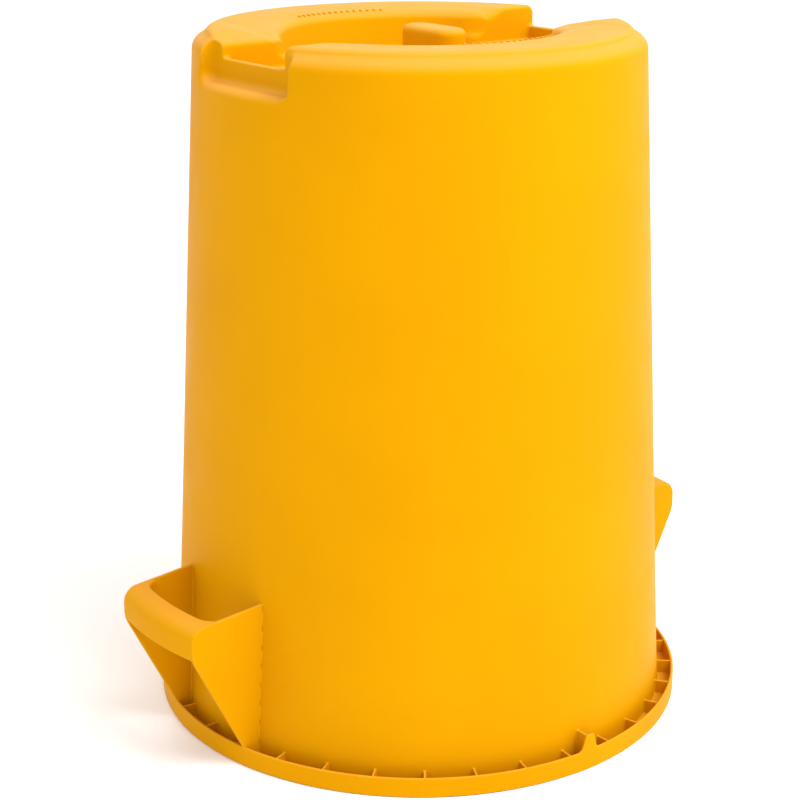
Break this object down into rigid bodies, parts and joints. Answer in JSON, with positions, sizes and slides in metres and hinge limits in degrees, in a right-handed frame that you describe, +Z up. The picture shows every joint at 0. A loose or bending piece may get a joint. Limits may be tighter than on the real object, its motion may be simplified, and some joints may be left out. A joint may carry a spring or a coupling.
{
  "type": "round utility container",
  "caption": "Tapered round plastic container shown upside down, with a flanged ribbed rim, side handles, a raised split foot ring and hand grips in its base.",
  "frame": {"origin": "centre of the mouth, on the plane the rim rests on; the container stands upside down", "axes": "+Z up from the rim to the base, +X through the right-hand side handle, -Y to the front tab"},
  "size_m": [0.668, 0.56, 0.705],
  "materials": {
    "yellow_polyethylene": "satin, fine moulded grain"
  },
  "bodies": {
    "root": {"body_wall": "yellow_polyethylene", "rim_flange": "yellow_polyethylene", "rim_skirt": "yellow_polyethylene", "rim_gussets": "yellow_polyethylene", "base_shoulder": "yellow_polyethylene", "recess_wall": "yellow_polyethylene", "base_panel": "yellow_polyethylene", "centre_boss": "yellow_polyethylene", "front_foot_ring": "yellow_polyethylene", "front_teeth": "yellow_polyethylene", "front_lock_tab": "yellow_polyethylene", "front_tab_rib": "yellow_polyethylene", "back_foot_ring": "yellow_polyethylene", "back_teeth": "yellow_polyethylene", "back_lock_tab": "yellow_polyethylene", "back_tab_rib": "yellow_polyethylene", "left_hand_grip": "yellow_polyethylene", "left_grip_sill": "yellow_polyethylene", "left_handle_grip": "yellow_polyethylene", "left_handle_web_a": "yellow_polyethylene", "left_handle_web_b": "yellow_polyethylene", "right_hand_grip": "yellow_polyethylene", "right_grip_sill": "yellow_polyethylene", "right_handle_grip": "yellow_polyethylene", "right_handle_web_a": "yellow_polyethylene", "right_handle_web_b": "yellow_polyethylene"}
  },
  "joints": []
}
